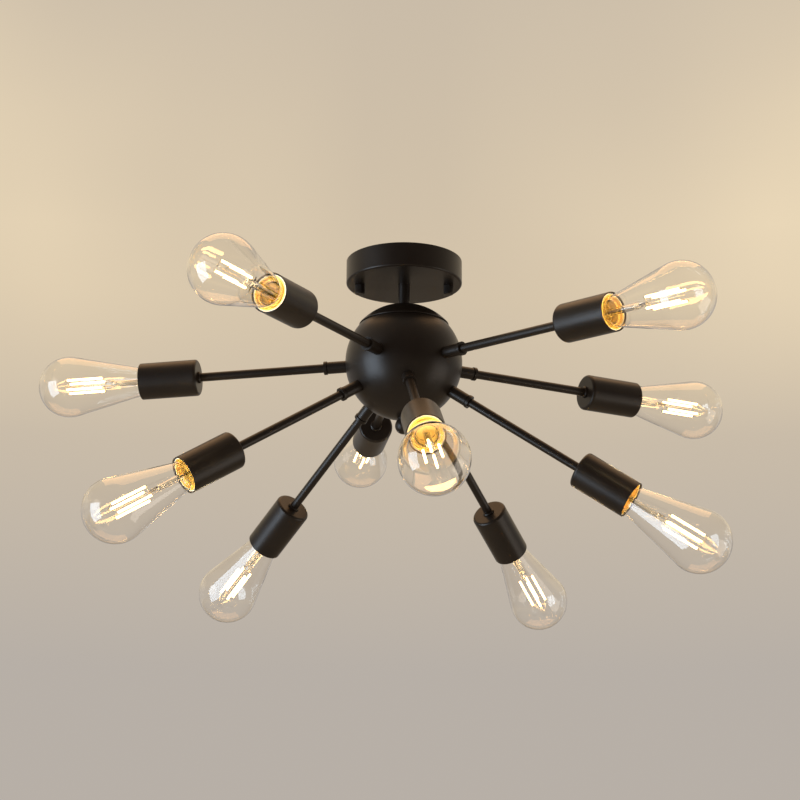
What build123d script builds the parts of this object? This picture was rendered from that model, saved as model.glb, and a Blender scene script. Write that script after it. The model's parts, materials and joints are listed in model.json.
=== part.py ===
# Sputnik chandelier: a ball hub under a round canopy, ten arms in two staggered rings,
# and a screw-in filament bulb in a metal cup at the end of each arm.
#
# Frame: millimetres, +Z up. The origin is the centre of the ceiling face, so everything
# hangs below Z = 0. The two thumb nuts lie along X.
# Along an arm, sizes are distances from the ball's centre; across it they are radii.

import os
from math import asin, atan, cos, pi, radians, sin, sqrt

from build123d import *

# ---------------------------------------------------------------- driving dimensions

# running and seating clearances
running = 0.05            # shaft in a hole, on the radius
seat_gap = 0.05           # a curved face from the face that it rests on
thread_gap = 0.35         # a bulb's screw cap from its threaded shell, on the radius

# canopy, the round cover at the ceiling
canopy_radius = 60.0
canopy_height = 25.0
canopy_wall = 1.2
canopy_edge = 2.0         # rounding of the lower edge

# ceiling bracket, the flat bar that the house's box carries
bracket_length = 104.0
bracket_width = 20.0
bracket_thick = 2.0
ear_reach = 31.0          # the ear that holds the terminal block, from the centre
ear_margin = 2.0          # ear beside the terminal block
box_screw_spacing = 60.0
box_slot_length = 14.0
box_slot_width = 4.5
cable_hole_radius = 6.0

# studs and thumb nuts
stud_inset = 6.0          # stud from the bar's end
stud_radius = 2.0
stud_nut_across = 7.0
stud_nut_height = 3.2
thumb_nut_radius = 5.0
thumb_nut_length = 10.0
thumb_nut_crown = 1.2     # rounding of the free end
thumb_nut_end = 2.5       # solid end of the nut beyond its stud
knurl_grooves = 24
knurl_radius = 0.4

# terminal block
block_length = 22.0
block_width = 15.0
block_height = 11.0
block_ways = 3
block_hole_radius = 1.6
block_screw_radius = 1.9
block_edge = 1.0

# centre tube, its sleeve and its nuts
tube_radius = 5.0
tube_wall = 1.2
tube_above_floor = 7.0    # end of the tube above the canopy's floor
tube_nut_across = 14.0
tube_nut_height = 4.0
sleeve_gap = 0.2          # sleeve round the tube
sleeve_wall = 0.8
drop = 84.0               # canopy's underside to the ball's centre

# ball and its cap
ball_radius = 60.0
ball_wall = 1.5
ball_mouth = 33.0         # radius of the opening under the cap
cap_gap = 0.1             # cap over the ball's skin
cap_wall = 1.2
cap_rim_height = 40.0     # the cap's rim above the ball's centre
window_width = 5.0        # the tube's wire window
window_length = 34.0

# finial under the ball
finial_radius = 8.75
finial_drop = 7.5         # knob's centre below the ball
finial_neck = 6.4
finial_thread = 12.0      # tube inside the finial

# arms: two rings of five
arms_per_ring = 5
upper_start = 26.5        # direction of the first arm about Z, degrees
upper_lean = -2.0         # its angle above the horizontal
lower_start = -12.0       # the same for the lower ring, degrees
lower_lean = -33.3        # its angle above the horizontal
# how far each arm really stands off its even place, as (about Z, above the horizontal)
upper_set = [(-0.6, 1.2), (-0.2, -0.2), (1.2, 0.0), (1.1, -0.4), (0.6, -0.2)]
lower_set = [(0.6, -0.8), (-1.3, -1.2), (-0.7, -0.9), (2.3, 1.3), (-1.0, 2.5)]

# coupling at the root of an arm
coupling_radius = 6.25
coupling_length = 23.0    # outer end beyond the ball's skin
coupling_ring_step = 0.75 # how far the end ring stands out
coupling_ring_length = 3.0
coupling_web = 6.0        # the rod's seat beyond the ball's skin
spigot_wall = 0.6
spigot_inside = 7.5       # threaded spigot inside the ball's skin
coupling_nut_across = 12.0
coupling_nut_height = 3.0

# rod
rod_radius = 4.5
rod_wall = 1.1
rod_past_cup = 8.5        # rod inside the cup

# cup over the lamp holder
cup_wall = 1.0
cup_length = 61.0
cup_beyond_foot = 32.0    # the cup's mouth beyond the bulb's foot
cup_edge = 3.0            # rounding of the back edge
cup_nut_radius = 6.2
cup_nut_length = 2.2
cup_nut_bevel = 0.8
holder_nut_across = 14.0
holder_nut_height = 3.2

# lamp holder: ceramic body, threaded shell and centre contact
holder_clearance = 0.3    # ceramic inside the cup
holder_rim_depth = 1.5    # ceramic rim inside the cup's mouth
holder_rim_width = 2.3    # ceramic round the mouth
holder_mouth_gap = 1.2    # the bulb's glass inside the mouth
holder_mouth_depth = 5.0
chamber_radius = 10.5     # contact chamber under the shell's lip
shell_thick = 0.45
shell_lip = 0.8
shell_length = 23.0
contact_radius = 3.2
contact_foot_gap = 1.0    # the contact's foot inside the chamber
contact_thick = 0.6
contact_post = 1.6
contact_gap = 0.2

# bulb: screw cap, glass and filament mount
bulb_radius = 32.0
bulb_length = 142.0
bulb_reach = 386.5        # bulb's tip from the ball's centre
base_length = 27.0
base_radius = 13.1
base_wall = 0.8
thread_pitch = 3.629
thread_depth = 1.0
thread_turns = 4.5
thread_start = 6.0        # from the foot
base_foot_radius = 4.6
base_foot_height = 1.6
insulator_height = 1.8
insulator_flare = 1.5
neck_insert = 14.0        # glass neck inside the cap
neck_swell = 1.1          # glass just outside the cap, wider than it on the radius
neck_exit = 3.0
glass_wall = 1.0
stem_radius = 3.4
stem_length = 58.5        # glass stem that carries the filaments
stem_flare_length = 3.0
stem_flare_edge = 0.8
strips = 4
strip_radius = 1.1
strip_length = 38.0
strip_start = 2.0         # beyond the stem's end
strip_circle = 7.5
lead_radius = 0.5

# ---------------------------------------------------------------- places that follow

floor_z = -canopy_height                      # canopy's underside
ball_z = floor_z - drop                       # ball's centre
hub = Vector(0, 0, ball_z)
stud_spacing = bracket_length - 2 * stud_inset
ear_width = block_length + 2 * ear_margin
thumb_nut_thread = thumb_nut_length - thumb_nut_end
tube_bore = tube_radius - tube_wall
sleeve_bore = tube_radius + sleeve_gap
sleeve_radius = sleeve_bore + sleeve_wall
cap_inner = ball_radius + cap_gap
cap_radius = cap_inner + cap_wall
rod_bore = rod_radius - rod_wall
spigot_radius = rod_bore + spigot_wall
spigot_end = ball_radius - spigot_inside
coupling_bore_floor = ball_radius + coupling_web
coupling_end = ball_radius + coupling_length
coupling_ring_radius = coupling_radius + coupling_ring_step
bulb_foot = bulb_reach - bulb_length
base_rim = bulb_foot + base_length
base_bore = base_radius - thread_depth - base_wall
neck_radius = base_bore - running
neck_exit_radius = base_radius + neck_swell
shell_bore = base_radius + thread_gap
shell_outer = shell_bore + shell_thick
holder_bore = shell_outer + running
holder_mouth = neck_exit_radius + holder_mouth_gap
holder_outer = holder_mouth + holder_rim_width
contact_foot_radius = chamber_radius - contact_foot_gap
cup_bore = holder_outer + holder_clearance
cup_radius = cup_bore + cup_wall
cup_mouth = bulb_foot + cup_beyond_foot
cup_back = cup_mouth - cup_length
rod_end = cup_back + rod_past_cup
holder_back = cup_back + cup_wall + holder_nut_height
holder_rim = cup_mouth - holder_rim_depth
insulator_edge = bulb_foot + base_foot_height + insulator_height
shell_foot = insulator_edge
chamber_floor = bulb_foot - contact_gap - contact_thick - contact_post
tube_top = floor_z + canopy_wall + tube_above_floor
stud_end = floor_z - thumb_nut_thread
finial_centre = ball_z - ball_radius - finial_drop
tube_foot = ball_z - ball_radius - finial_thread
finial_top = ball_z - sqrt(ball_radius ** 2 - (tube_radius + running) ** 2) - seat_gap


def arm_plane(about_z, above_level):
    """Plane of an arm's profile: X runs out along the arm from the ball's centre, Y is the radius."""
    turn, rise = radians(about_z), radians(above_level)
    out = Vector(cos(turn) * cos(rise), sin(turn) * cos(rise), sin(rise))
    side = Vector(-sin(turn), cos(turn), 0)
    return Plane(origin=hub, x_dir=out, z_dir=side)


def ring_of_arms(start, lean, settings):
    """The arm planes of one ring, evenly spaced and then set as they really stand."""
    step = 360 / arms_per_ring
    places = [(start + step * i, settings[i % len(settings)]) for i in range(arms_per_ring)]
    return [arm_plane(turn + off[0], lean + off[1]) for turn, off in places]


upper_arms = ring_of_arms(upper_start, upper_lean, upper_set)
lower_arms = ring_of_arms(lower_start, lower_lean, lower_set)
arms = upper_arms + lower_arms


def axis_of(arm):
    return Axis(arm.origin, arm.x_dir)


def across(arm, distance):
    """Plane square to an arm, at a distance from the ball's centre, facing outwards."""
    return Plane(origin=arm.origin + arm.x_dir * distance, x_dir=arm.z_dir, z_dir=arm.x_dir)


def hex_radius(across_flats):
    return across_flats / 2 / cos(pi / 6)


def save(part, name):
    part.label = name
    export_step(part, f"parts/{name}.step")


os.makedirs("parts", exist_ok=True)

# ---------------------------------------------------------------- at the ceiling

with BuildPart() as canopy:
    with BuildSketch(Plane.XY):
        Circle(canopy_radius)
    extrude(amount=-canopy_height)
    fillet(canopy.faces().sort_by(Axis.Z)[0].edges(), canopy_edge)
    offset(amount=-canopy_wall, openings=canopy.faces().sort_by(Axis.Z)[-1])
    with BuildSketch(Plane.XY.offset(floor_z)):
        Circle(tube_radius + running)
        with GridLocations(stud_spacing, 0, 2, 1):
            Circle(stud_radius + running)
    extrude(amount=canopy_wall, mode=Mode.SUBTRACT)

with BuildPart() as ceiling_bracket:
    with BuildSketch(Plane.XY):
        RectangleRounded(bracket_length, bracket_width, bracket_width / 4)
        with Locations((0, ear_reach / 2)):
            Rectangle(ear_width, ear_reach)
        Circle(cable_hole_radius, mode=Mode.SUBTRACT)
        with GridLocations(box_screw_spacing, 0, 2, 1):
            SlotOverall(box_slot_length, box_slot_width, mode=Mode.SUBTRACT)
        with GridLocations(stud_spacing, 0, 2, 1):
            Circle(stud_radius + running, mode=Mode.SUBTRACT)
    extrude(amount=-bracket_thick)

with BuildPart() as bracket_studs:
    with BuildSketch(Plane.XY):
        with GridLocations(stud_spacing, 0, 2, 1):
            Circle(stud_radius)
    extrude(amount=stud_end)
    with BuildSketch(Plane.XY.offset(-bracket_thick)):
        with GridLocations(stud_spacing, 0, 2, 1):
            RegularPolygon(hex_radius(stud_nut_across), 6)
    extrude(amount=-stud_nut_height)


def thumb_nut(side):
    """Knurled nut under the canopy, blind-threaded on its stud, with a crowned free end."""
    with BuildPart() as nut:
        with BuildSketch(Plane.XY.offset(floor_z)):
            with Locations((side * stud_spacing / 2, 0)):
                Circle(thumb_nut_radius)
        extrude(amount=-thumb_nut_length)
        fillet(nut.faces().sort_by(Axis.Z)[0].edges(), thumb_nut_crown)
        with BuildSketch(Plane.XY.offset(floor_z - thumb_nut_crown)):
            with Locations((side * stud_spacing / 2, 0)):
                with PolarLocations(thumb_nut_radius, knurl_grooves):
                    Circle(knurl_radius)
        extrude(amount=2 * thumb_nut_crown - thumb_nut_length, mode=Mode.SUBTRACT)
        with BuildSketch(Plane.XY.offset(floor_z)):
            with Locations((side * stud_spacing / 2, 0)):
                Circle(stud_radius + running)
        extrude(amount=-thumb_nut_thread - running, mode=Mode.SUBTRACT)
    return nut.part


with BuildPart() as terminal_block:
    block_y = ear_reach - block_width / 2
    with BuildSketch(Plane.XY.offset(-bracket_thick)):
        with Locations((0, block_y)):
            RectangleRounded(block_length, block_width, block_edge)
    extrude(amount=-block_height)
    block_low = -bracket_thick - block_height
    way_pitch = block_length / block_ways
    with BuildSketch(Plane.XZ.offset(-ear_reach)):
        with Locations((0, block_low + block_height / 2)):
            with GridLocations(way_pitch, 0, block_ways, 1):
                Circle(block_hole_radius)
    extrude(amount=block_width, mode=Mode.SUBTRACT)
    with BuildSketch(Plane.XY.offset(block_low)):
        with Locations((0, block_y)):
            with GridLocations(way_pitch, block_width / 2, block_ways, 2):
                Circle(block_screw_radius)
    extrude(amount=block_height / 4, mode=Mode.SUBTRACT)

# ---------------------------------------------------------------- down the centre


def cap_height(radius, sphere):
    """Height above the ball's centre of a sphere's skin at a distance from the Z axis."""
    return sqrt(sphere ** 2 - radius ** 2)


with BuildPart() as stem_sleeve:
    sleeve_foot = ball_z + cap_height(sleeve_bore, cap_radius) + seat_gap
    with BuildSketch(Plane.XY.offset(floor_z)):
        Circle(sleeve_radius)
        Circle(sleeve_bore, mode=Mode.SUBTRACT)
    extrude(amount=sleeve_foot - floor_z)

with BuildPart() as centre_tube:
    with BuildSketch(Plane.XY.offset(tube_top)):
        Circle(tube_radius)
        Circle(tube_bore, mode=Mode.SUBTRACT)
    extrude(amount=tube_foot - tube_top)
    with BuildSketch(Plane.XZ.offset(-2 * tube_radius)):
        with Locations((0, ball_z)):
            SlotOverall(window_length, window_width, rotation=90)
    extrude(amount=4 * tube_radius, mode=Mode.SUBTRACT)

with BuildPart() as tube_nuts:
    nut_corner = hex_radius(tube_nut_across)
    under_cap = ball_z + cap_height(nut_corner, cap_inner) - seat_gap
    ball_floor = ball_z - cap_height(nut_corner, ball_radius - ball_wall) + seat_gap
    nut_tops = [floor_z + canopy_wall + tube_nut_height, under_cap, ball_floor + tube_nut_height]
    for nut_top in nut_tops:
        with BuildSketch(Plane.XY.offset(nut_top)):
            RegularPolygon(nut_corner, 6)
            Circle(tube_radius + running, mode=Mode.SUBTRACT)
        extrude(amount=-tube_nut_height)

with BuildPart() as ball:
    mouth_height = cap_height(ball_mouth, ball_radius)
    with Locations(hub):
        Sphere(ball_radius)
        Sphere(ball_radius - ball_wall, mode=Mode.SUBTRACT)
    with BuildSketch(Plane.XY.offset(ball_z + mouth_height - 2 * ball_wall)):
        Circle(ball_mouth)
    extrude(amount=ball_radius, mode=Mode.SUBTRACT)
    with BuildSketch(Plane.XY.offset(ball_z)):
        Circle(tube_radius + running)
    extrude(amount=-2 * ball_radius, mode=Mode.SUBTRACT)
    for arm in arms:
        with BuildSketch(across(arm, 0)):
            Circle(spigot_radius + running)
        extrude(amount=2 * ball_radius, mode=Mode.SUBTRACT)

with BuildPart() as ball_cap:
    rim_outer = sqrt(cap_radius ** 2 - cap_rim_height ** 2)
    rim_inner = sqrt(cap_inner ** 2 - cap_rim_height ** 2)
    hole = tube_radius + running
    outer_top = (hole, ball_z + cap_height(hole, cap_radius))
    inner_top = (hole, ball_z + cap_height(hole, cap_inner))
    outer_rim = (rim_outer, ball_z + cap_rim_height)
    inner_rim = (rim_inner, ball_z + cap_rim_height)
    with BuildSketch(Plane.XZ):
        with BuildLine():
            RadiusArc(outer_top, outer_rim, cap_radius)
            Line(outer_rim, inner_rim)
            RadiusArc(inner_rim, inner_top, -cap_inner)
            Line(inner_top, outer_top)
        make_face()
    revolve(axis=Axis.Z)

with BuildPart() as finial:
    neck_meets = (finial_neck, finial_centre + sqrt(finial_radius ** 2 - finial_neck ** 2))
    widest = (finial_radius, finial_centre)
    lowest = (0, finial_centre - finial_radius)
    with BuildSketch(Plane.XZ):
        with BuildLine():
            Polyline(lowest, (0, finial_top), (finial_neck, finial_top), neck_meets)
            RadiusArc(neck_meets, widest, finial_radius)
            RadiusArc(widest, lowest, finial_radius)
        make_face()
    revolve(axis=Axis.Z)
    with BuildSketch(Plane.XY.offset(finial_top)):
        Circle(tube_radius + running)
    extrude(amount=tube_foot - finial_top - running, mode=Mode.SUBTRACT)

# ---------------------------------------------------------------- arms


def turn_on(arm, *outline):
    """Revolve a closed outline of (along, radius) points about an arm, in the part being built."""
    with BuildSketch(arm) as profile:
        with BuildLine():
            Polyline(*outline, close=True)
        make_face()
    revolve(profile.sketch, axis=axis_of(arm))


def hex_nut_on(arm, start, height, across_flats, bore):
    """A hexagon nut round an arm, from a distance along it outwards, in the part being built."""
    with BuildSketch(across(arm, start)) as profile:
        RegularPolygon(hex_radius(across_flats), 6)
        Circle(bore, mode=Mode.SUBTRACT)
    extrude(profile.sketch, amount=height)


with BuildPart() as arm_couplings:
    ball_skin = ball_radius + seat_gap
    foot = sqrt(ball_skin ** 2 - spigot_radius ** 2)
    ring_start = coupling_end - coupling_ring_length
    for arm in arms:
        turn_on(
            arm,
            (spigot_end, rod_bore),
            (spigot_end, spigot_radius),
            (foot, spigot_radius),
            (foot, coupling_radius),
            (ring_start, coupling_radius),
            (ring_start, coupling_ring_radius),
            (coupling_end, coupling_ring_radius),
            (coupling_end, rod_radius + running),
            (coupling_bore_floor, rod_radius + running),
            (coupling_bore_floor, rod_bore),
        )

with BuildPart() as coupling_nuts:
    nut_reach = hex_radius(coupling_nut_across)
    nut_face = sqrt((ball_radius - ball_wall) ** 2 - nut_reach ** 2) - seat_gap
    for arm in arms:
        hex_nut_on(
            arm, nut_face - coupling_nut_height, coupling_nut_height,
            coupling_nut_across, spigot_radius + running,
        )


def rods(ring):
    with BuildPart() as tubes:
        for arm in ring:
            turn_on(
                arm,
                (coupling_bore_floor, rod_bore),
                (coupling_bore_floor, rod_radius),
                (rod_end, rod_radius),
                (rod_end, rod_bore),
            )
    return tubes.part


def cup(arm):
    """Cover of a lamp holder: a drawn metal cup with a rounded back edge and a hole for the rod."""
    with BuildPart() as cover:
        with BuildSketch(across(arm, cup_back)):
            Circle(cup_radius)
        extrude(amount=cup_length)
        fillet(cover.faces().sort_by(axis_of(arm))[0].edges(), cup_edge)
        offset(amount=-cup_wall, openings=cover.faces().sort_by(axis_of(arm))[-1])
        with BuildSketch(across(arm, cup_back)):
            Circle(rod_radius + running)
        extrude(amount=cup_wall, mode=Mode.SUBTRACT)
    return cover.part


with BuildPart() as cup_nuts:
    for arm in arms:
        turn_on(
            arm,
            (cup_back - cup_nut_length, rod_radius + running),
            (cup_back - cup_nut_length, cup_nut_radius - cup_nut_bevel),
            (cup_back - cup_nut_length + cup_nut_bevel, cup_nut_radius),
            (cup_back, cup_nut_radius),
            (cup_back, rod_radius + running),
        )
        hex_nut_on(
            arm, cup_back + cup_wall, holder_nut_height,
            holder_nut_across, rod_radius + running,
        )

with BuildPart() as socket_bodies:
    for arm in arms:
        turn_on(
            arm,
            (holder_back, rod_radius + running),
            (holder_back, holder_outer - cup_edge),
            (holder_back + cup_edge, holder_outer),
            (holder_rim, holder_outer),
            (holder_rim, holder_mouth),
            (holder_rim - holder_mouth_depth, holder_mouth),
            (holder_rim - holder_mouth_depth, holder_bore),
            (shell_foot, holder_bore),
            (shell_foot, chamber_radius),
            (chamber_floor, chamber_radius),
            (chamber_floor, rod_bore),
            (rod_end + running, rod_bore),
            (rod_end + running, rod_radius + running),
        )

with BuildPart() as socket_shells:
    for arm in arms:
        turn_on(
            arm,
            (shell_foot, chamber_radius),
            (shell_foot, shell_outer),
            (shell_foot + shell_length, shell_outer),
            (shell_foot + shell_length, shell_bore),
            (shell_foot + shell_lip, shell_bore),
            (shell_foot + shell_lip, chamber_radius),
        )

with BuildPart() as socket_contacts:
    for arm in arms:
        turn_on(
            arm,
            (chamber_floor, 0),
            (chamber_floor, contact_foot_radius),
            (chamber_floor + contact_thick, contact_foot_radius),
            (chamber_floor + contact_thick, contact_thick),
            (chamber_floor + contact_post, contact_thick),
            (chamber_floor + contact_post, contact_radius),
            (chamber_floor + contact_post + contact_thick, contact_radius),
            (chamber_floor + contact_post + contact_thick, 0),
        )

# ---------------------------------------------------------------- bulbs


def bulb_base(arm):
    """Screw cap: foot contact, insulator cone, rounded thread and the plain rim."""
    crest = base_radius
    mid = base_radius - thread_depth / 2
    root = base_radius - thread_depth
    thread_foot = bulb_foot + thread_start
    thread_end = thread_foot + thread_turns * thread_pitch
    with BuildPart() as base:
        with BuildSketch(arm):
            with BuildLine():
                Polyline(
                    (bulb_foot, 0),
                    (bulb_foot, base_foot_radius),
                    (bulb_foot + base_foot_height, base_foot_radius),
                    (insulator_edge, base_foot_radius + insulator_flare),
                    (thread_foot, mid),
                )
                at = thread_foot
                for half_turn in range(round(2 * thread_turns)):
                    peak = crest if half_turn % 2 == 0 else root
                    middle = (at + thread_pitch / 4, peak)
                    ThreePointArc((at, mid), middle, (at + thread_pitch / 2, mid))
                    at += thread_pitch / 2
                Polyline(
                    (thread_end, mid),
                    (thread_end, crest),
                    (base_rim, crest),
                    (base_rim, base_bore),
                    (thread_foot + base_wall, base_bore),
                    (thread_foot + base_wall, 0),
                    (bulb_foot, 0),
                )
            make_face()
        revolve(axis=axis_of(arm))
    return base.part


def bulb_glass(arm):
    """Blown envelope: a neck in the cap, a straight taper and a round end."""
    dome = bulb_reach - bulb_radius
    exit_at = base_rim + neck_exit
    rise = neck_exit_radius
    run = dome - exit_at
    # angle of the line from the neck's exit that touches the dome
    lean = asin(bulb_radius / sqrt(run ** 2 + rise ** 2)) - atan(rise / run)
    touch = (dome - bulb_radius * sin(lean), bulb_radius * cos(lean))
    touch_in = (dome - (bulb_radius - glass_wall) * sin(lean), (bulb_radius - glass_wall) * cos(lean))
    neck_foot = base_rim - neck_insert
    with BuildPart() as glass:
        with BuildSketch(arm):
            with BuildLine():
                Polyline(
                    (neck_foot, neck_radius),
                    (base_rim + running, neck_radius),
                    (exit_at, neck_exit_radius),
                    touch,
                )
                shoulder_mid = point_on(dome, bulb_radius, lean)
                ThreePointArc(touch, shoulder_mid, (dome + bulb_radius, 0))
                Line((dome + bulb_radius, 0), (dome + bulb_radius - glass_wall, 0))
                inner_mid = point_on(dome, bulb_radius - glass_wall, lean)
                ThreePointArc((dome + bulb_radius - glass_wall, 0), inner_mid, touch_in)
                Polyline(
                    touch_in,
                    (exit_at, neck_exit_radius - glass_wall),
                    (base_rim + running, neck_radius - glass_wall),
                    (neck_foot, neck_radius - glass_wall),
                    (neck_foot, neck_radius),
                )
            make_face()
        revolve(axis=axis_of(arm))
    return glass.part


def point_on(centre, radius, lean):
    """Middle of the dome's arc, from the taper's touch point to the tip."""
    half = (pi / 2 + lean) / 2
    return (centre + radius * cos(half), radius * sin(half))


def bulb_filament(arm):
    """Filament mount: flared glass stem, filament strips round it and their support wires."""
    stem_foot = base_rim - neck_insert
    stem_flare = neck_radius - glass_wall - seat_gap
    stem_end = stem_foot + stem_length
    strip_foot = stem_end + strip_start
    with BuildPart() as mount:
        turn_on(
            arm,
            (stem_foot, 0),
            (stem_foot, stem_flare),
            (stem_foot + stem_flare_edge, stem_flare),
            (stem_foot + stem_flare_edge + stem_flare_length, stem_radius),
            (stem_end, stem_radius),
            (stem_end, 0),
        )
        with BuildSketch(across(arm, strip_foot)):
            with PolarLocations(strip_circle, strips, start_angle=45):
                Circle(strip_radius)
        extrude(amount=strip_length)
        for wire_at in (strip_foot, strip_foot + strip_length - 2 * lead_radius):
            with BuildSketch(across(arm, wire_at)):
                for turn in range(strips // 2):
                    Rectangle(2 * strip_circle, 2 * lead_radius, rotation=45 + turn * 360 / strips)
            extrude(amount=2 * lead_radius)
        with BuildSketch(across(arm, stem_end)):
            Circle(lead_radius)
        extrude(amount=strip_start + strip_length)
    return mount.part


# ---------------------------------------------------------------- files

save(canopy.part, "canopy")
save(ceiling_bracket.part, "ceiling_bracket")
save(bracket_studs.part, "bracket_studs")
save(thumb_nut(-1), "thumb_nut_left")
save(thumb_nut(1), "thumb_nut_right")
save(terminal_block.part, "terminal_block")
save(stem_sleeve.part, "stem_sleeve")
save(centre_tube.part, "centre_tube")
save(tube_nuts.part, "tube_nuts")
save(ball.part, "ball")
save(ball_cap.part, "ball_cap")
save(finial.part, "finial")
save(arm_couplings.part, "arm_couplings")
save(coupling_nuts.part, "coupling_nuts")
save(rods(upper_arms), "upper_rods")
save(rods(lower_arms), "lower_rods")
save(cup_nuts.part, "cup_nuts")
save(socket_bodies.part, "socket_bodies")
save(socket_shells.part, "socket_shells")
save(socket_contacts.part, "socket_contacts")
for number, arm in enumerate(arms, start=1):
    save(cup(arm), f"cup_{number:02d}")
    save(bulb_base(arm), f"bulb_{number:02d}_base")
    save(bulb_glass(arm), f"bulb_{number:02d}_glass")
    save(bulb_filament(arm), f"bulb_{number:02d}_filament")
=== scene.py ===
# %% [markdown]
# # A sputnik chandelier with ten clear bulbs
#
# The canopy, the ball hub, the arms, the lamp holders and the bulbs exist already as solids
# at their real size. This lesson loads them as a fixed frame and dresses them: visible pieces
# get their rounded edges, threads and glass, and every surface gets its finish. Nothing that
# is made here moves or resizes the frame.

import json
from math import asin, atan, atan2, cos, exp, pi, radians, sin, sqrt, tau

import bmesh
import bpy
from mathutils import Matrix, Quaternion, Vector


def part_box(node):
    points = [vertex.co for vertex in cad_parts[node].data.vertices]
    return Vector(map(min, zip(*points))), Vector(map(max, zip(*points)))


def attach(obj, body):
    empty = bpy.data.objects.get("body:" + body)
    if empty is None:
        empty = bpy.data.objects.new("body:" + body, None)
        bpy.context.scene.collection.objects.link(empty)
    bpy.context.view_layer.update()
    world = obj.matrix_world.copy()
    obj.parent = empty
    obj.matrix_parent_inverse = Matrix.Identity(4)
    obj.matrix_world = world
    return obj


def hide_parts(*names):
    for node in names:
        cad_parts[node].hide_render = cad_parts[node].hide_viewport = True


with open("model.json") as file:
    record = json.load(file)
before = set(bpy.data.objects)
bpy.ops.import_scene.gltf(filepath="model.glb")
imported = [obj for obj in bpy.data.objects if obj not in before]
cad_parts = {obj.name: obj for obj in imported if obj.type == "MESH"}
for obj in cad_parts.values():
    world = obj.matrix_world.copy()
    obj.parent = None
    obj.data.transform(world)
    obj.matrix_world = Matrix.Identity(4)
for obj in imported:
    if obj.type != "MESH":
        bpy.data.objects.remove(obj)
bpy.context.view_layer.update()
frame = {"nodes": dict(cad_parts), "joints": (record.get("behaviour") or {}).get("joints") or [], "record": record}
nodes = frame["nodes"]
MM = 0.001

# %% [markdown]
# ## Where the arms are
#
# Ten straight arms leave the centre of the ball. Their directions could be typed in, but the
# frame already knows them: every bulb unscrews along its own arm, so the axis of that joint
# is the arm's direction. All the lines meet at the ball's centre, on the vertical axis.

# %% Find the hub and the arms
turns = [joint for joint in frame["joints"] if joint["name"].endswith("_turn")]
arms = {joint["child"].split("_")[1]: Vector(joint["axis"]).normalized() for joint in turns}
on_arm, out = Vector(turns[0]["pos_m"]), Vector(turns[0]["axis"])
hub = Vector((0, 0, on_arm.z - out.z * on_arm.xy.length / out.xy.length))
print(f"{len(arms)} arms meet {-hub.z / MM:.1f} mm below the ceiling")


def onto_arm(out, roll=0.0):
    """Takes a piece made round Z, in millimetres from the hub, to its arm in the frame."""
    side = Vector((-out.y, out.x, 0)).normalized()
    turn = Matrix((side, out.cross(side), out)).transposed().to_4x4()
    return Matrix.Translation(hub) @ turn @ Matrix.Rotation(roll, 4, "Z") @ Matrix.Scale(MM, 4)


def span(node, reach=40.0, out=arms["01"]):
    """Nearest and farthest place of a node along an arm, and its radius there, in millimetres."""
    points = [(vertex.co - hub) / MM for vertex in nodes[node].data.vertices]
    found = [(point.dot(out), (point - out * point.dot(out)).length) for point in points]
    close = [(along, radius) for along, radius in found if along > 0 and radius < reach]
    places = [along for along, radius in close]
    return min(places), max(places), max(radius for along, radius in close)


cup_back, cup_mouth, cup_radius = span("cup_01")
base_foot, base_rim, base_radius = span("bulb_01_base")
neck_foot, bulb_tip, bulb_radius = span("bulb_01_glass")
stem_foot, strips_end, stem_flare = span("bulb_01_filament")
print(f"cup {cup_back:.1f} to {cup_mouth:.1f}, bulb {base_foot:.1f} to {bulb_tip:.1f} mm from the hub")

# %% [markdown]
# ## The camera
#
# The photograph looks up at the chandelier from about two metres away, through a long lens.
# The place and the lens were found by fitting the ten arms' ends to the picture, so they are
# written down as a distance and a few angles instead of being found again here.

# %% Set up the camera
camera_distance = 2.045          # metres from the ball's centre
camera_below = radians(17.42)    # how far it stands under the ball's level, seen from the ball
look_up = radians(16.342)
look_aside = radians(-0.11)
tilt = radians(0.26)
picture_pixels = 800
focal_pixels = 1992

lens = bpy.data.cameras.new("photograph")
lens.sensor_width = 36.0
lens.lens = lens.sensor_width * focal_pixels / picture_pixels
camera = bpy.data.objects.new("photograph", lens)
bpy.context.scene.collection.objects.link(camera)
camera.location = hub + camera_distance * Vector((0, -cos(camera_below), -sin(camera_below)))
ahead = Vector((sin(look_aside) * cos(look_up), cos(look_aside) * cos(look_up), sin(look_up)))
camera.rotation_mode = "QUATERNION"
camera.rotation_quaternion = ahead.to_track_quat("-Z", "Y") @ Quaternion((0, 0, 1), tilt)
bpy.context.scene.camera = camera
bpy.context.scene.view_settings.view_transform = "Standard"
print(f"lens {lens.lens:.1f} mm, camera at {tuple(round(c, 3) for c in camera.location)}")

# %% [markdown]
# ## Shader maths as plain expressions
#
# A finish is a small sum: a base colour, plus a little of one noise, times another. Adding
# every Math node by hand hides that sum, so a wire, which stands for one output socket,
# takes part in Python's own arithmetic and adds the nodes itself.

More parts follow.
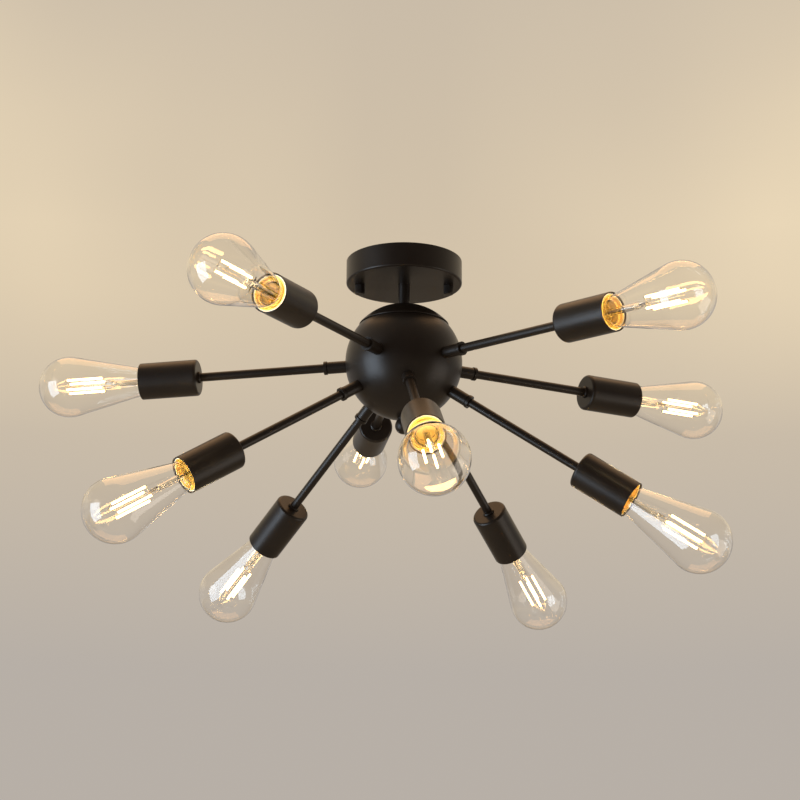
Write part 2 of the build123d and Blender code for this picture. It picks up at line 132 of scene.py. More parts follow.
# %% The wire
class Wire:
    """The output of a shader node. Arithmetic on it adds Math nodes to its tree."""

    def __init__(self, tree, socket=None):
        self.tree, self.socket = tree, socket

    def node(self, kind, inputs=(), output=0, stops=(), **settings):
        """Adds any node: its settings and ramp stops first, then the values or wires it takes."""
        made = self.tree.nodes.new("ShaderNode" + kind)
        for name, value in settings.items():
            setattr(made, name, value)
        for number, (position, grey) in enumerate(stops):
            ramp = made.color_ramp.elements
            stop = ramp[number] if number < len(ramp) else ramp.new(position)
            stop.position, stop.color = position, (grey, grey, grey, 1)
        plug(made, dict(inputs))
        return Wire(self.tree, made.outputs[output])

    def maths(self, operation, first, second):
        return self.node("Math", {0: first, 1: second}, operation=operation)

    def __add__(self, other):
        return self.maths("ADD", self, other)

    def __radd__(self, other):
        return self.maths("ADD", other, self)

    def __sub__(self, other):
        return self.maths("SUBTRACT", self, other)

    def __rsub__(self, other):
        return self.maths("SUBTRACT", other, self)

    def __mul__(self, other):
        return self.maths("MULTIPLY", self, other)

    def __rmul__(self, other):
        return self.maths("MULTIPLY", other, self)


def plug(node, inputs):
    """Gives a node's sockets their values, or links wires to them."""
    for name, value in inputs.items():
        if isinstance(value, Wire):
            node.id_data.links.new(value.socket, node.inputs[name])
        else:
            node.inputs[name].default_value = value


def colour(red, green, blue):
    return (red, green, blue, 1.0)


def mixed(share, low, high):
    """A colour between two others, where a wire from 0 to 1 is the share of the second."""
    return share.node("Mix", {0: share, 6: low, 7: high}, output=2, data_type="RGBA")


def noise(place, patch, detail=2.0):
    """Cloudy noise whose patches are about so many millimetres across."""
    return place.node("TexNoise", {"Vector": place, "Scale": 1 / (patch * MM), "Detail": detail})


def sharpened(wire, start, end):
    """Stretches the part of a noise between two levels to the whole of 0 to 1."""
    return wire.node("ValToRGB", {0: wire}, stops=[(start, 0.0), (end, 1.0)])


def relief(height, depth):
    """A bump so many millimetres deep where the height goes from 0 to 1."""
    return height.node("Bump", {"Height": height, "Strength": 1.0, "Distance": depth * MM})


def start_finish(name):
    """A new material, with its Principled shader and a wire of the object's coordinates."""
    material = bpy.data.materials.new(name)
    material.use_nodes = True
    shader = material.node_tree.nodes["Principled BSDF"]
    place = Wire(material.node_tree).node("TexCoord", output="Object")
    return material, shader, place


print("wires ready")

# %% [markdown]
# ## Satin black paint
#
# The canopy, the hub, the arms and the cups are painted metal with a warm, nearly black
# colour. Sprayed paint is never quite even: it has a fine orange-peel skin, its gloss drifts
# over some centimetres, and a little dust settles on it. A coat layer would add a second,
# sharper reflection that this paint lacks, so one layer with a drifting roughness does it.

# %% Paint
def painted(name, dark, light, gloss):
    material, shader, place = start_finish(name)
    drift = noise(place, 30, 3)
    dust = sharpened(noise(place, 2.2, 4), 0.60, 0.72)
    peel = noise(place, 0.9, 2)
    plug(shader, {
        "Base Color": mixed(0.75 * drift + 0.25 * dust, colour(*dark), colour(*light)),
        "Roughness": gloss + 0.10 * drift + 0.08 * dust,
        "Specular IOR Level": 0.36,
        "Normal": relief(peel, 0.006),
    })
    return material


black_paint = painted("satin black paint", (0.008, 0.0055, 0.0040), (0.022, 0.0155, 0.0105), 0.30)
print("made", black_paint.name)

# %% [markdown]
# ## Metals
#
# Zinc-plated steel has a faint blue and yellow bloom and short polishing streaks. The brass of
# a screw cap is a little tarnished in patches, and a dull skin makes it less than a full metal,
# so it glows when the filaments light it from inside the bulb. The colour sits in Base Color
# and everything else in how rough each patch is.

# %% Zinc, brass and nickel
def metal(name, fresh, aged, gloss, spread, patch, streaks, pure=1.0):
    material, shader, place = start_finish(name)
    bloom = noise(place, patch, 3)
    stretched = place.node("Mapping", {"Vector": place, "Scale": streaks})
    streak = noise(stretched, 1.2, 3)
    plug(shader, {
        "Base Color": mixed(sharpened(bloom, 0.38, 0.68), colour(*fresh), colour(*aged)),
        "Metallic": pure,
        "Roughness": gloss + spread * streak,
        "Normal": relief(streak, 0.004),
    })
    return material


zinc = metal("zinc plate", (0.66, 0.66, 0.64), (0.55, 0.53, 0.44), 0.22, 0.22, 9, (1, 1, 0.15))
brass = metal("cap brass", (0.92, 0.67, 0.18), (0.82, 0.54, 0.11), 0.38, 0.24, 6, (1, 1, 1), pure=0.75)
nickel = metal("lead wire", (0.60, 0.57, 0.52), (0.48, 0.44, 0.38), 0.18, 0.15, 3, (1, 1, 1))
print("made", zinc.name, brass.name, nickel.name)

# %% [markdown]
# ## Ceramic, plastic and the insulator
#
# The lamp holders are steatite under a thin cream glaze with tiny pits. The terminal block is
# matt white plastic. The bulb's foot is insulated by a glossy bead of almost black glass.

# %% Ceramic, plastic, insulator
def moulded(name, low, high, gloss, spread, pits, coat):
    material, shader, place = start_finish(name)
    cloud = noise(place, 8, 3)
    pit = sharpened(noise(place, 0.7, 2), 0.66, 0.78)
    plug(shader, {
        "Base Color": mixed(cloud, colour(*low), colour(*high)),
        "Roughness": gloss + spread * cloud + 0.2 * pit,
        "Coat Weight": coat,
        "Coat Roughness": 0.08,
        "Normal": relief(1 - pit, pits),
    })
    return material


ceramic = moulded("glazed steatite", (0.80, 0.76, 0.68), (0.90, 0.87, 0.80), 0.22, 0.10, 0.02, 0.4)
plastic = moulded("white plastic", (0.76, 0.75, 0.71), (0.84, 0.83, 0.80), 0.45, 0.10, 0.03, 0.0)
bead_glass = moulded("insulating bead", (0.012, 0.010, 0.014), (0.03, 0.024, 0.03), 0.08, 0.05, 0.01, 0.3)
print("made", ceramic.name, plastic.name, bead_glass.name)

# %% [markdown]
# ## Clear glass
#
# The bulbs are blown from clear soda glass, a little wavy where the mould and the flame left
# it. The glass is modelled with its true wall, so the Principled shader with full transmission
# bends and mirrors light as the real wall does. Its shadow is switched off on each piece:
# otherwise the lamps can't find their way into the bulb and the brass inside goes dark.

# %% Glass
def clear_glass(name, tint, wave, depth):
    material, shader, place = start_finish(name)
    ripple = noise(place, wave, 1)
    plug(shader, {
        "Base Color": colour(*tint),
        "Roughness": 0.0,
        "IOR": 1.47,
        "Transmission Weight": 1.0,
        "Normal": relief(ripple, depth),
    })
    return material


bulb_glass = clear_glass("blown glass", (1.0, 0.992, 0.975), 22, 0.10)
stem_glass = clear_glass("drawn glass", (0.99, 0.985, 0.96), 5, 0.05)
print("made", bulb_glass.name, stem_glass.name)

# %% [markdown]
# ## The glowing strips
#
# Each filament is a thin strip of tiny lamps under a yellow phosphor skin. It glows most in
# its middle and a little less at its ends, where the current comes in. The strips carry an
# attribute called `heat`, and the strength of the glow stays one plain number.

# %% Phosphor
glow_strength = 15.0

phosphor, phosphor_shader, place = start_finish("glowing phosphor")
heat = place.node("Attribute", output="Fac", attribute_name="heat")
grain = noise(place, 0.8, 2)
plug(phosphor_shader, {
    "Base Color": mixed(grain, colour(0.95, 0.62, 0.16), colour(1.0, 0.74, 0.30)),
    "Roughness": 0.55 + 0.1 * grain,
    "Emission Color": mixed(heat, colour(0.80, 0.48, 0.18), colour(1.0, 0.84, 0.52)),
    "Emission Strength": glow_strength,
})
print("made", phosphor.name)

# %% [markdown]
# ## Turned pieces
#
# Nearly everything on an arm is round, so it is drawn as half an outline and spun: pairs of
# (radius, place along the arm) in millimetres. The last point joins the first, except along the
# axis, where a spun piece closes by itself. Real edges are never sharp, so the edges where two
# faces meet at a steep angle are bevelled afterwards, or the outline itself is rounded.

# %% Tools for turned pieces
def turned(outline, steps=64):
    """Spins a half outline of (radius, along) about Z. Steps along the axis itself are left out."""
    shape = bmesh.new()
    points = [shape.verts.new((radius, 0, along)) for radius, along in outline]
    pairs = list(zip(points, points[1:] + points[:1]))
    edges = [shape.edges.new(pair) for pair in pairs if max(pair[0].co.x, pair[1].co.x) > 0]
    bmesh.ops.spin(
        shape, geom=points + edges, cent=(0, 0, 0), axis=(0, 0, 1), angle=tau,
        steps=steps, use_merge=True,
    )
    bmesh.ops.remove_doubles(shape, verts=shape.verts, dist=1e-4)
    bmesh.ops.recalc_face_normals(shape, faces=shape.faces)
    return shape


def arc(centre, radius, first, last, steps=8):
    """Points of (radius, along) on a circle round a centre, from one angle to another in degrees."""
    angles = [radians(first + (last - first) * i / steps) for i in range(steps + 1)]
    return [(centre[0] + radius * cos(a), centre[1] + radius * sin(a)) for a in angles]


def soften(shape, width, sharper=35, segments=3):
    """Bevels the edges where faces meet more sharply than an angle in degrees."""
    steep = [e for e in shape.edges if e.is_manifold and e.calc_face_angle() > radians(sharper)]
    bmesh.ops.bevel(
        shape, geom=steep, offset=width, offset_type="OFFSET", affect="EDGES",
        segments=segments, profile=0.5, material=-1, clamp_overlap=True,
    )
    return shape


def as_mesh(shape, name, *materials):
    """Writes a bmesh into a new mesh with smooth shading and its materials."""
    mesh = bpy.data.meshes.new(name)
    shape.to_mesh(mesh)
    shape.free()
    mesh.shade_smooth()
    for material in materials:
        mesh.materials.append(material)
    return mesh


def put(mesh, name, body, slot, *replaced, matrix=None):
    """Places a copy of a mesh in the frame as a piece that rides on a body."""
    mesh = mesh.copy()
    mesh.name = name
    mesh.transform(matrix or Matrix.Scale(MM, 4))
    piece = bpy.data.objects.new(name, mesh)
    bpy.context.scene.collection.objects.link(piece)
    even = piece.modifiers.new("even shading", "WEIGHTED_NORMAL")
    even.keep_sharp = True
    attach(piece, body)
    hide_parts(*replaced)
    return piece


def merged(shapes):
    """Several bmeshes as one."""
    whole = shapes[0]
    for shape in shapes[1:]:
        carried = bpy.data.meshes.new("carried")
        shape.to_mesh(carried)
        shape.free()
        whole.from_mesh(carried)
        bpy.data.meshes.remove(carried)
    return whole


print("turning tools ready")

# %% [markdown]
# ## The cup
#
# A cup is drawn from one sheet of steel: a round back edge, a straight wall and a mouth whose
# lip is rolled smooth. It covers the lamp holder, and its mouth stands just proud of the
# ceramic. Thickness belongs to the outline here, so no Solidify modifier is needed.

# %% Cups
cup_wall = 1.0
cup_edge = 3.0
rod_hole = 4.55
inner_edge = cup_edge - cup_wall
cup_outline = (
    [(rod_hole, cup_back)]
    + arc((cup_radius - cup_edge, cup_back + cup_edge), cup_edge, -90, 0)
    + arc((cup_radius - cup_wall / 2, cup_mouth - cup_wall / 2), cup_wall / 2, 0, 180, 6)
    + arc((cup_radius - cup_edge, cup_back + cup_edge), inner_edge, 0, -90)
    + [(rod_hole, cup_back + cup_wall)]
)
cup_mesh = as_mesh(soften(turned(cup_outline, 72), 0.2), "cup", black_paint)
for number, out in arms.items():
    put(cup_mesh, f"drawn_cup_{number}", "root", "black_metal", f"cup_{number}", matrix=onto_arm(out))
print(f"ten cups, {len(cup_mesh.polygons)} faces each")

# %% [markdown]
# ## The lamp holder
#
# Inside a cup sits a ceramic body. Only its rim shows, a cream ring between the cup's lip and
# the neck of the bulb, so the rim gets the roundness of glazed ware and a shallow step where
# the bulb's cap enters. The step is lined with brass. A flat brass-coloured band on the rim's
# inner edge is painted shade: it stands for the shade that falls just inside the ring.

# %% Ceramic holders
holder_back, rim_at, holder_radius = span("socket_bodies", 25)
shell_foot, _, shell_radius = span("socket_shells", 25)
chamber_floor, _, _ = span("socket_contacts", 25)
holder_mouth = 15.4
mouth_depth = 5.0
holder_bore = shell_radius + 0.05
chamber = 10.5
shoulder = 3.0
ceramic_round = 0.5
shade_band = 1.3                     # how far the band of painted shade, brass-coloured, reaches over the flat ceramic rim
holder_outline = [
    (rod_hole, holder_back), (holder_radius - shoulder, holder_back),
    (holder_radius, holder_back + shoulder), (holder_radius, rim_at),
    (holder_mouth + shade_band, rim_at), (holder_mouth, rim_at), (holder_mouth, rim_at - mouth_depth),
    (holder_bore, rim_at - mouth_depth), (holder_bore, shell_foot),
    (chamber, shell_foot), (chamber, chamber_floor), (rod_hole, chamber_floor),
]
holder = soften(turned(holder_outline, 72), ceramic_round, segments=4)
# Brass goes on the step's lining and on a flat band of the rim's inner edge, which is painted shade
for face in holder.faces:
    middle = face.calc_center_median()
    if middle.xy.length < holder_mouth + shade_band and middle.z > rim_at - mouth_depth - 0.05:
        face.material_index = 1
holder_mesh = as_mesh(holder, "holder", ceramic, brass)
for number, out in arms.items():
    put(holder_mesh, f"ceramic_rim_{number}", "root", "white_ceramic", "socket_bodies",
        matrix=onto_arm(out))
print(f"ten holders, rim {holder_radius - holder_mouth:.1f} mm wide")

# %% [markdown]
# ## The screw cap
#
# The bulb's cap is thin brass rolled into a round thread, soldered at its foot to a contact
# that a bead of dark glass insulates. The thread is a true helix here: the cap is spun with
# many fine rows, and each point is then moved in or out by a cosine that climbs one pitch a
# turn and fades at both ends, which keeps the mesh closed without any run-out to patch.

# %% Screw caps
pitch = 3.629
thread_depth = 1.0
sheet = 0.35
thread_rows = 60
insulator_foot = base_foot + 1.6
insulator_top = base_foot + 5.6
thread_low = base_foot + 6.0
thread_high = base_rim - 4.2
crest = base_radius
root = base_radius - thread_depth


def rolled(shape, low, high):
    """Moves the plain wall between two places in and out into a round thread."""
    for vertex in shape.verts:
        radius, along = vertex.co.xy.length, vertex.co.z
        if radius < root - thread_depth or not low < along < high:
            continue
        fade = min(1.0, (along - low) / pitch, (high - along) / pitch)
        phase = tau * along / pitch - atan2(vertex.co.y, vertex.co.x)
        depth = thread_depth * fade * (1 - cos(phase)) / 2
        vertex.co.xy *= (radius - depth) / radius


rows = [thread_low + (thread_high - thread_low) * i / thread_rows for i in range(thread_rows + 1)]
cap_outline = (
    [(0, base_foot), (2.6, base_foot + 0.15), (4.2, base_foot + 0.9), (4.6, insulator_foot)]
    + [(6.6, insulator_foot + 0.3), (root - 0.8, insulator_top), (crest - 0.35, thread_low - 0.2)]
    + [(crest, row) for row in rows]
    + [(crest, base_rim - 0.4), (crest - 0.12, base_rim), (crest - sheet, base_rim)]
    + [(crest - sheet, row) for row in reversed(rows)]
    + [(root - 1.6, thread_low + 0.2), (0, thread_low + 0.2)]
)
cap = turned(cap_outline, 64)
rolled(cap, thread_low, thread_high)
for face in cap.faces:
    middle = face.calc_center_median()
    if middle.z < insulator_foot:
        face.material_index = 2
    elif middle.z < insulator_top:
        face.material_index = 1
cap_mesh = as_mesh(cap, "cap", brass, bead_glass, zinc)
for number, out in arms.items():
    put(cap_mesh, f"screw_cap_{number}", f"bulb_{number}_cap", "brass", f"bulb_{number}_base",
        matrix=onto_arm(out))
print(f"ten screw caps, {(thread_high - thread_low) / pitch:.1f} turns of thread")

# %% [markdown]
# ## The glass envelope
#
# The pear shape is a straight taper that touches a half-round dome. The angle of the taper
# follows from the neck, the dome and the distance between them, as a tangent to a circle.
# Inner and outer skin are one closed outline, so that light meets a wall of even thickness.

# %% Envelopes
wall = 0.8
neck_radius = 11.25
exit_radius = 14.2
exit_at = base_rim + 3.0
dome = bulb_tip - bulb_radius
run = dome - exit_at
lean = asin(bulb_radius / sqrt(run ** 2 + exit_radius ** 2)) - atan(exit_radius / run)
touch = -lean * 180 / pi
inner_radius = bulb_radius - wall
neck_curve = 2.2
curve_at = base_rim + 0.6
skins = (
    [(neck_radius, neck_foot), (neck_radius, base_rim - 1.2)]
    + arc((neck_radius + neck_curve, curve_at), neck_curve, 200, 135, 4)
    + [(exit_radius, exit_at)]
    + arc((0, dome), bulb_radius, touch, 90, 36)
    + arc((0, dome), inner_radius, 90, touch, 36)
    + [(exit_radius - wall, exit_at)]
    + arc((neck_radius + neck_curve, curve_at), neck_curve + wall, 135, 200, 4)
    + [(neck_radius - wall, base_rim - 1.2), (neck_radius - wall, neck_foot)]
)


def evened(outline, step):
    """Gives the long runs of an outline a point every so many millimetres."""
    full = [outline[0]]
    for (r0, z0), (r1, z1) in zip(outline, outline[1:]):
        parts = max(1, round(sqrt((r1 - r0) ** 2 + (z1 - z0) ** 2) / step))
        full += [(r0 + (r1 - r0) * i / parts, z0 + (z1 - z0) * i / parts) for i in range(1, parts + 1)]
    return full


glass_mesh = as_mesh(turned(evened(skins, 4.0), 80), "envelope", bulb_glass)
print(f"taper leans {lean * 180 / pi:.1f} degrees, {len(glass_mesh.polygons)} faces a bulb")

# %% [markdown]
# ## The stem
#
# A glass stem rises from the neck, flared at its foot and pressed flat at its end, where it
# grips the two lead wires. A thin tube inside it is where the air was pumped out. The press
# is a round tube squeezed in one direction, so that is how it is made: spun, then squeezed.

# %% Stems
stem_radius = 3.4
stem_wall = 0.7
stem_length = 58.5
flare_length = 6.0
press_length = 9.0
stem_end = stem_foot + stem_length
press_at = stem_end - press_length
pump_radius = 1.35
pump_wall = 0.4
squeeze = 0.52
spread = 1.45


def smooth_step(low, high, value):
    share = min(1.0, max(0.0, (value - low) / (high - low)))
    return share * share * (3 - 2 * share)


flare = [(stem_radius + (stem_flare - stem_radius) * (1 - i / 6) ** 3, stem_foot + flare_length * i / 6)
         for i in range(7)]
stem_outline = (
    flare + [(stem_radius, stem_end - 1.6)]
    + arc((stem_radius - 1.6, stem_end - 1.6), 1.6, 0, 90, 4) + [(0, stem_end)]
    + [(0, press_at), (stem_radius - stem_wall - 0.6, press_at - 0.6)]
    + [(radius - stem_wall, along) for radius, along in reversed(flare)]
)
stem = turned(evened(stem_outline, 1.2), 40)
for vertex in stem.verts:
    pressed = smooth_step(press_at - 3, press_at + 3, vertex.co.z)
    vertex.co.x *= 1 + (spread - 1) * pressed
    vertex.co.y *= 1 + (squeeze - 1) * pressed
pump_tube = turned([
    (pump_radius, stem_foot + 1), (pump_radius, press_at - 1.5),
    (pump_radius - pump_wall, press_at - 1.5), (pump_radius - pump_wall, stem_foot + 1),
], 24)
stem_mesh = as_mesh(merged([stem, pump_tube]), "stem", stem_glass)
print("stem", len(stem_mesh.polygons), "faces")

# %% [markdown]
# ## Filament strips and their wires
#
# Four strips stand round the stem's axis. Wires from the press fan out to their feet, and bent
# wires join their far ends in pairs. A NURBS curve with a round bevel makes a bent wire from a
# few given points, and is turned into a mesh so that its place can be baked in.

# %% Strips and wires
strip_radius = 1.1
strip_circle = 7.5
strip_foot = stem_end + 2.0
strip_length = strips_end - strip_foot
wire_radius = 0.28
tab = (0.8, 0.25, 2.4)
strip_round = 0.5
hottest = 0.42                      # share of the strip's length where it glows most
heat_spread = 0.42
corners = [radians(45 + 90 * i) for i in range(4)]


def bent_wires(paths, radius):
    """Round wires that follow paths of points, as one bmesh."""
    curve = bpy.data.curves.new("wires", "CURVE")
    curve.dimensions = "3D"
    curve.bevel_depth = radius
    curve.bevel_resolution = 2
    curve.resolution_u = 5
    curve.use_fill_caps = True
    for path in paths:
        spline = curve.splines.new("NURBS")
        spline.points.add(len(path) - 1)
        for point, place in zip(spline.points, path):
            point.co = (*place, 1)
        spline.order_u = 3
        spline.use_endpoint_u = True
    carrier = bpy.data.objects.new("wires", curve)
    mesh = bpy.data.meshes.new_from_object(carrier)
    shape = bmesh.new()
    shape.from_mesh(mesh)
    bpy.data.objects.remove(carrier)
    bpy.data.curves.remove(curve)
    bpy.data.meshes.remove(mesh)
    bmesh.ops.remove_doubles(shape, verts=shape.verts, dist=1e-4)
    return shape


def at_corner(angle, along, circle=strip_circle):
    return (circle * cos(angle), circle * sin(angle), along)


def strip_at(angle):
    """One phosphor strip with rounded ends."""
    rod = turned(
        [(0, strip_foot)]
        + arc((strip_radius - strip_round, strip_foot + strip_round), strip_round, -90, 0, 3)
        + arc((strip_radius - strip_round, strips_end - strip_round), strip_round, 0, 90, 3)
        + [(0, strips_end)], 20)
    cuts = [edge for edge in rod.edges if edge.calc_length() > strip_length / 2]
    bmesh.ops.subdivide_edges(rod, edges=cuts, cuts=12, use_grid_fill=True)
    bmesh.ops.translate(rod, vec=at_corner(angle, 0), verts=rod.verts)
    return rod


def tabs_at(angle):
    """The flat metal ends of a strip."""
    plates = bmesh.new()
    for along in (strip_foot - tab[2] / 3, strips_end + tab[2] / 3):
        turn = Matrix.Translation(at_corner(angle, along)) @ Matrix.Rotation(angle, 4, "Z")
        bmesh.ops.create_cube(plates, size=1, matrix=turn @ Matrix.Diagonal((*tab, 1)))
    return plates


glow = merged([strip_at(angle) for angle in corners])
warmth = glow.verts.layers.float.new("heat")
for vertex in glow.verts:
    share = (vertex.co.z - strip_foot) / strip_length
    vertex[warmth] = exp(-((share - hottest) / heat_spread) ** 2)
strips_mesh = as_mesh(glow, "strips", phosphor)

side = 1.9
leads = []
for sign in (-1, 1):
    leads.append([(sign * side, 0, stem_foot + 1), (sign * side, 0, press_at - 4),
                  (sign * side * 1.15, 0, press_at + 2), (sign * side * 1.2, 0, stem_end + 0.4)])
    for angle in corners:
        if cos(angle) * sign > 0:
            leads.append([(sign * side * 1.2, 0, stem_end - 1.5), (sign * side * 1.2, 0, stem_end + 1.2),
                          at_corner(angle, strip_foot - 1.4, 5.0), at_corner(angle, strip_foot - 0.4)])
for sign in (-1, 1):
    near, far = (angle for angle in corners if sin(angle) * sign > 0)
    leads.append([at_corner(near, strips_end), at_corner(near, strips_end + 1.6),
                  (0, sign * 4.6, strips_end + 2.4), at_corner(far, strips_end + 1.6),
                  at_corner(far, strips_end)])
leads.append([(0, 0, stem_end - 2), (0.3, 0.2, stem_end + 12), (-0.3, 0.2, strips_end - 12),
              (0, -0.2, strips_end + 0.4), (0, 2.4, strips_end + 2.2), (0, 4.4, strips_end + 2.0)])
leads_shape = merged([bent_wires(leads, wire_radius)] + [tabs_at(angle) for angle in corners])
leads_mesh = as_mesh(leads_shape, "leads", nickel)
print("strips", len(strips_mesh.polygons), "faces, wires", len(leads_mesh.polygons))

# %% [markdown]
# ## Ten bulbs
#
# No two bulbs are screwed in to the same turn, so each mount is rolled by its own angle about
# the arm. A golden-angle step spreads them evenly without looking like a pattern.

# %% Put the bulbs in
golden_turn = radians(137.5)
for place_in_ring, (number, out) in enumerate(arms.items()):
    body = f"bulb_{number}_lamp"
    matrix = onto_arm(out, golden_turn * place_in_ring)
    glass, mount = f"bulb_{number}_glass", f"bulb_{number}_filament"
    envelope = put(glass_mesh, f"envelope_{number}", body, "clear_glass", glass, matrix=matrix)
    stem_piece = put(stem_mesh, f"stem_{number}", body, "clear_glass", mount, matrix=matrix)
    put(leads_mesh, f"leads_{number}", body, "plated_steel", mount, matrix=matrix)
    put(strips_mesh, f"strips_{number}", body, "filament", mount, matrix=matrix)
    envelope.visible_shadow = False
    stem_piece.visible_shadow = False
print("ten bulbs in place")

# %% [markdown]
# ## Couplings
#
# At the ball each rod is held by a short sleeve with a raised ring at its outer end. A narrow
# groove sets the ring off from the sleeve. The foot follows the ball's skin, so it is hollowed
# by a small arc, and a threaded spigot passes through the ball's wall behind it.

# %% Couplings
spigot_end, coupling_end, ring_radius = span("arm_couplings", 9)
ball_radius = (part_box("ball")[1].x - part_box("ball")[0].x) / 2 / MM
sleeve_radius = 6.25
spigot_radius = 4.0
rod_bore = 3.4
rod_radius = 4.5
ring_length = 3.0
groove = 0.5
bore_floor = 66.0
foot_at = sqrt(ball_radius ** 2 - sleeve_radius ** 2) + 0.1
spigot_at = sqrt(ball_radius ** 2 - spigot_radius ** 2) + 0.1
ring_at = coupling_end - ring_length
coupling_outline = [
    (rod_bore, spigot_end), (spigot_radius, spigot_end), (spigot_radius, spigot_at),
    (sleeve_radius, foot_at), (sleeve_radius, ring_at - 2 * groove),
    (sleeve_radius - groove, ring_at - 1.6 * groove), (sleeve_radius - groove, ring_at - groove),
    (ring_radius, ring_at - groove / 2), (ring_radius, coupling_end),
    (rod_radius + 0.05, coupling_end), (rod_radius + 0.05, bore_floor), (rod_bore, bore_floor),
]
coupling_mesh = as_mesh(soften(turned(coupling_outline, 48), 0.35), "coupling", black_paint)
for number, out in arms.items():
    put(coupling_mesh, f"coupling_{number}", "root", "black_metal", "arm_couplings", matrix=onto_arm(out))
print(f"ten couplings, ring {2 * ring_radius:.1f} mm across")

# %% [markdown]
# ## Thumb nuts
#
# Two knurled nuts hold the canopy. A straight knurl is a row of fine grooves, so a spun
# cylinder with many sides gets its points pushed in along each groove, and the grooves run
# out before the crowned ends.

# %% Thumb nuts
grooves = 30
points_a_groove = 6
groove_depth = 0.38
knurl_margin = 1.3
crown = 1.0
for node, body in (("thumb_nut_left", "left_nut"), ("thumb_nut_right", "right_nut")):
    low, high = (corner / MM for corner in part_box(node))
    middle = (low + high) / 2
    nut_radius = (high.x - low.x) / 2
    nut = turned(evened(
        [(0, low.z), (nut_radius - crown, low.z)]
        + arc((nut_radius - crown, low.z + crown), crown, -90, 0, 5)
        + [(nut_radius, high.z - 0.3), (nut_radius - 0.3, high.z), (0, high.z)], 1.0),
        grooves * points_a_groove)
    for vertex in nut.verts:
        radius, angle = vertex.co.xy.length, atan2(vertex.co.y, vertex.co.x)
        if radius > nut_radius - crown:
            ends = min(vertex.co.z - low.z, high.z - vertex.co.z)
            valley = (1 - cos(grooves * angle)) / 2
            vertex.co.xy *= 1 - groove_depth / radius * valley ** 2 * smooth_step(0.4, knurl_margin, ends)
    bmesh.ops.translate(nut, vec=(middle.x, middle.y, 0), verts=nut.verts)
    put(as_mesh(nut, node, black_paint), f"knurled_{body}", body, "black_metal", node)
print("two thumb nuts,", grooves, "grooves each")

# %% [markdown]
# ## The cap over the hub
#
# The top of the ball is a separate pressed cap that stands a little proud of it. What shows
# is its rim, a thin rolled edge with a highlight along it, so the rim is a half-round here.

# %% Hub cap
hub_at = hub.z / MM
cap_low, cap_high = (corner.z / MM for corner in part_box("ball_cap"))
cap_rim = (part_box("ball_cap")[1].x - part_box("ball_cap")[0].x) / 2 / MM
cap_sphere = sqrt(cap_rim ** 2 + (cap_low - hub_at) ** 2)
cap_wall = 1.2
rim_angle = 180 / pi * atan2(cap_low - hub_at, cap_rim)
tube_hole = 5.05
hole_angle = 180 / pi * atan2(cap_high - hub_at, tube_hole)
rim_from = rim_angle + 0.5          # the half-round rim takes up the last half degree
rim_out = cap_sphere - cap_wall / 2
rim_middle = (rim_out * cos(radians(rim_from)), hub_at + rim_out * sin(radians(rim_from)))
hub_cap_outline = (
    arc((0, hub_at), cap_sphere, hole_angle, rim_from, 40)
    + arc(rim_middle, cap_wall / 2, rim_angle, rim_angle - 180, 8)
    + arc((0, hub_at), cap_sphere - cap_wall, rim_from, hole_angle, 40)
)
hub_cap_mesh = as_mesh(turned(hub_cap_outline, 128), "hub cap", black_paint)
put(hub_cap_mesh, "hub_cap", "root", "black_metal", "ball_cap")
print(f"hub cap, rim {cap_rim * 2:.1f} mm across")

# %% [markdown]
# ## The rest of the frame
#
# Every other node has its right shape already: the canopy, the ball, the rods, the finial and
# all that is hidden in them. They keep their meshes and only get their finish, by the material
# slot that the record gives them.

# %% Finish the frame's own nodes
finishes = {
    "black_metal": black_paint, "plated_steel": zinc, "white_ceramic": ceramic,
    "white_plastic": plastic, "brass": brass, "clear_glass": bulb_glass, "filament": phosphor,
}
for part in frame["record"]["subparts"]:
    mesh = nodes[part["node"]].data
    mesh.materials.clear()
    mesh.materials.append(finishes[part["material_slot"]])
shown = [name for name, node in nodes.items() if not node.hide_render]
print(f"{len(shown)} nodes keep their own mesh:", ", ".join(sorted(shown)))

# %% [markdown]
# ## The studio
#
# A chandelier is seen from below, so its backdrop is a pale ceiling: a world that is warm
# behind the lamp, cooler above and below it, and brightest in soft patches to both sides. The
# camera sees it as it is written, also through the glass, and the light that it sheds is set
# apart. What a surface mirrors differs: towards the camera's side the room is dark, which
# keeps the fronts of the hub and the cups nearly black. A floor far below closes the room.

# %% World and floor
cool_wall = colour(0.475, 0.430, 0.385)
warm_wall = colour(0.655, 0.545, 0.400)
lit_wall = colour(0.900, 0.745, 0.515)
heights = [(0.15, 0.0), (0.33, 1.0), (0.50, 0.55)]       # how warm, by the sine of the view's rise
lit_heights = [(0.26, 0.0), (0.36, 1.0), (0.41, 0.75), (0.50, 0.0)]
lit_sides = (0.02, 0.24)
patch_scale = 7.0
patch_edges = (0.30, 0.62)
between_patches = 0.45
shed_light = 0.60
dark_room = colour(0.085, 0.048, 0.040)
room_edges = (0.0, 0.75)

world = bpy.data.worlds.new("studio")
bpy.context.scene.world = world
world.use_nodes = True
sky = Wire(world.node_tree)
direction = sky.node("TexCoord", output="Generated")
aside, away, rise = (direction.node("SeparateXYZ", {0: direction}, output=i) for i in range(3))
aside = aside.node("Math", {0: aside}, operation="ABSOLUTE")
wall_colour = mixed(rise.node("ValToRGB", {0: rise}, stops=heights), cool_wall, warm_wall)
clouds = direction.node("TexNoise", {"Vector": direction, "Scale": patch_scale, "Detail": 1.0})
patches = between_patches + (1 - between_patches) * sharpened(clouds, *patch_edges)
lit = rise.node("ValToRGB", {0: rise}, stops=lit_heights) * sharpened(aside, *lit_sides)
wall_colour = mixed(lit * patches, wall_colour, lit_wall)
ray = world.node_tree.nodes.new("ShaderNodeLightPath").outputs
through = Wire(world.node_tree, ray["Is Transmission Ray"])
seen = Wire(world.node_tree, ray["Is Camera Ray"]) + through
mirror = Wire(world.node_tree, ray["Is Glossy Ray"]) * (1 - through)
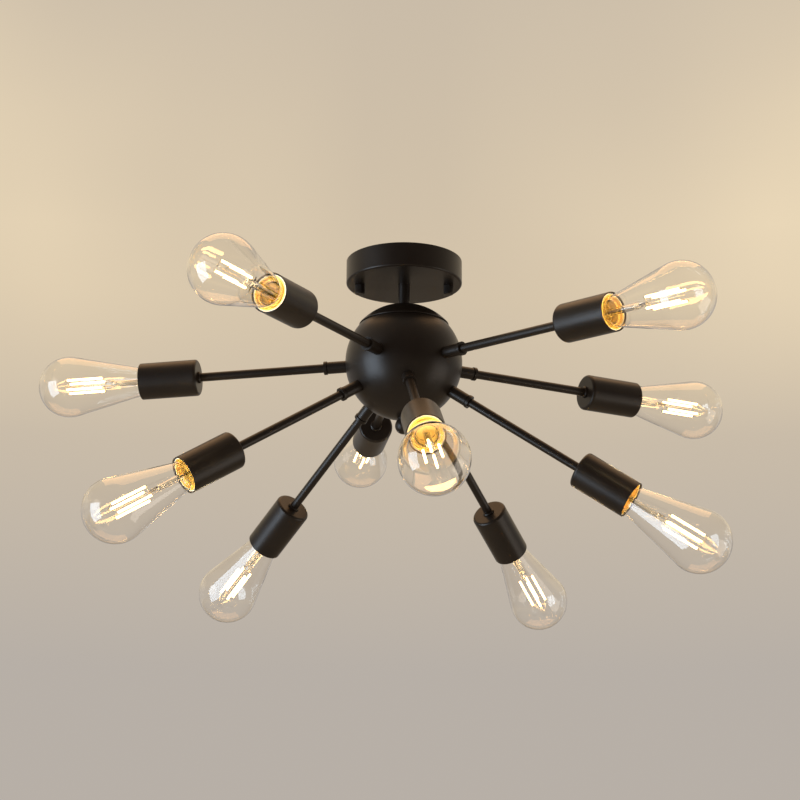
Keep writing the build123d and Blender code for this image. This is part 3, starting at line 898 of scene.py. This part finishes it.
room = mirror * (1 - sharpened(0.5 + 0.5 * away, *room_edges))
plug(world.node_tree.nodes["Background"], {
    "Color": mixed(room, wall_colour, dark_room),
    "Strength": shed_light + (1 - shed_light) * (seen + mirror),
})

floor_depth = -3.4
floor_size = 40.0
floor_mesh = bpy.data.meshes.new("floor")
slab = bmesh.new()
bmesh.ops.create_grid(slab, x_segments=1, y_segments=1, size=floor_size / 2,
                      matrix=Matrix.Translation((0, 0, floor_depth)))
slab.to_mesh(floor_mesh)
slab.free()
floor_paint, floor_shader, _ = start_finish("pale floor")
plug(floor_shader, {"Base Color": colour(0.78, 0.70, 0.60), "Roughness": 0.9})
floor_mesh.materials.append(floor_paint)
floor = bpy.data.objects.new("floor", floor_mesh)
bpy.context.scene.collection.objects.link(floor)
print("floor", floor_depth, "m below the ceiling")

# %% [markdown]
# ## Lamps
#
# Black satin metal is drawn by what it mirrors. A cool window at the left gives the hub its
# broad bluish highlight, a deep orange panel overhead stands for the ceiling that the bulbs
# light, and a dim warm one at the right rounds the hub's other side. The filaments alone
# would leave the brass in each neck dark, so a small glow inside each stem helps them.

# %% Lamps
def lamp(name, place, width, height, power, tint):
    data = bpy.data.lights.new(name, "AREA")
    data.shape = "RECTANGLE"
    data.size, data.size_y = width, height
    data.energy = power
    data.color = tint
    light = bpy.data.objects.new(name, data)
    bpy.context.scene.collection.objects.link(light)
    light.location = place
    light.rotation_mode = "QUATERNION"
    light.rotation_quaternion = (hub - Vector(place)).to_track_quat("-Z", "Y")
    return light


lamp("window", hub + Vector((-1.82, -0.86, -0.46)), 1.2, 1.6, 34, (0.72, 0.85, 1.0))
lamp("overhead", (0.0, 0.5, 1.7), 2.4, 1.6, 18, (1.0, 0.52, 0.20))
lamp("fill", hub + Vector((2.0, -0.3, -0.8)), 1.3, 1.3, 8, (1.0, 0.90, 0.80))

glow_at = base_rim + 28.0
glow_radius = 3.0
glow_power = 0.06
glow_tint = (1.0, 0.74, 0.40)
for number, out in arms.items():
    data = bpy.data.lights.new(f"neck glow {number}", "POINT")
    data.energy = glow_power
    data.color = glow_tint
    data.shadow_soft_size = glow_radius * MM
    light = bpy.data.objects.new(data.name, data)
    bpy.context.scene.collection.objects.link(light)
    light.location = hub + out * glow_at * MM
    light.visible_camera = light.visible_transmission = False
print("three lamps and a glow in each neck")
